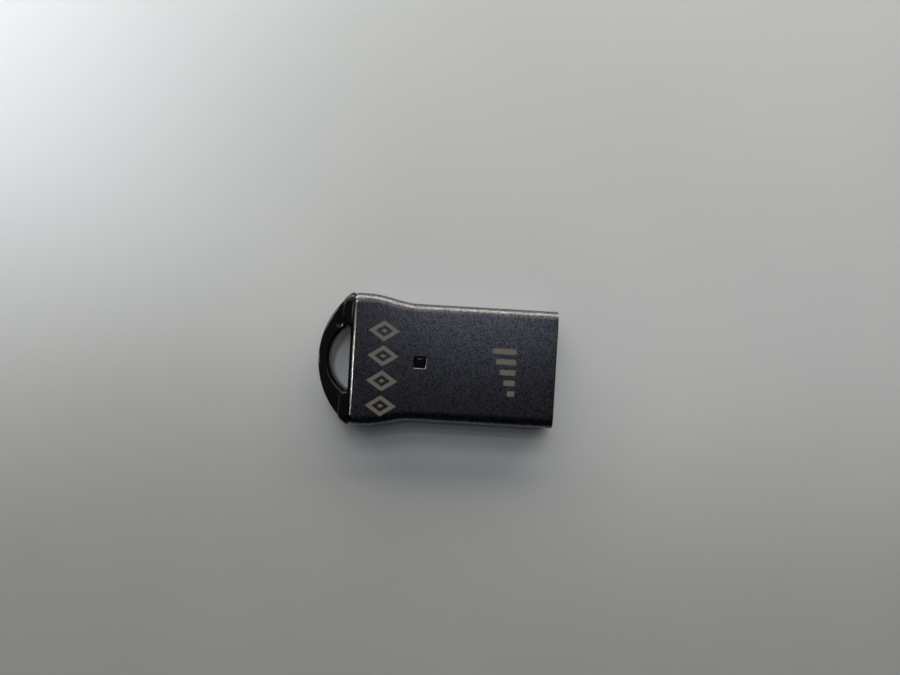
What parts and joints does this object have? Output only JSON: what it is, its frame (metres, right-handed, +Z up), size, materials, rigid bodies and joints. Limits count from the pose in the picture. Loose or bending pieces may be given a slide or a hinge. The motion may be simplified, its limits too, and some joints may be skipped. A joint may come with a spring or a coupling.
{
  "type": "usb flash drive",
  "caption": "Capless flash drive with a standard Type-A plug: a flat plated-metal shell, flared at the tail, with a snap-in cartridge and a moulded cord eye.",
  "frame": {"origin": "centre of the bounding box's base: on the surface that the drive lies on, halfway along its length and on its centre line", "axes": "+X is the way the plug goes into a port, +Y is across the width, and +Z is up, out of the side with the latch hole"},
  "size_m": [0.0244, 0.0136, 0.0045],
  "materials": {
    "gunmetal_plating": "fine blasted, dark nickel plating, satin",
    "gloss_black_plastic": "gloss",
    "matt_black_plastic": "fine texture",
    "black_laminate": "solder-resist coated laminate",
    "gold_plating": "gold plated",
    "black_epoxy": "moulded epoxy",
    "silicon": "polished",
    "passive_ceramic": "fired"
  },
  "bodies": {
    "root": {"metal_shell": "gunmetal_plating", "tail_loop": "gloss_black_plastic", "latch_tongue": "gloss_black_plastic", "carrier_tray": "matt_black_plastic", "board": "black_laminate", "contact_supply": "gold_plating", "contact_data_minus": "gold_plating", "contact_data_plus": "gold_plating", "contact_ground": "gold_plating", "mould_compound": "black_epoxy", "memory_die_first": "silicon", "memory_die_second": "silicon", "controller_die": "silicon", "capacitor_left_1": "passive_ceramic", "capacitor_left_2": "passive_ceramic", "capacitor_left_3": "passive_ceramic", "resistor_left_1": "passive_ceramic", "resistor_left_2": "passive_ceramic", "capacitor_right_1": "passive_ceramic", "capacitor_right_2": "passive_ceramic", "capacitor_right_3": "passive_ceramic", "resistor_right_1": "passive_ceramic", "resistor_right_2": "passive_ceramic"}
  },
  "joints": []
}
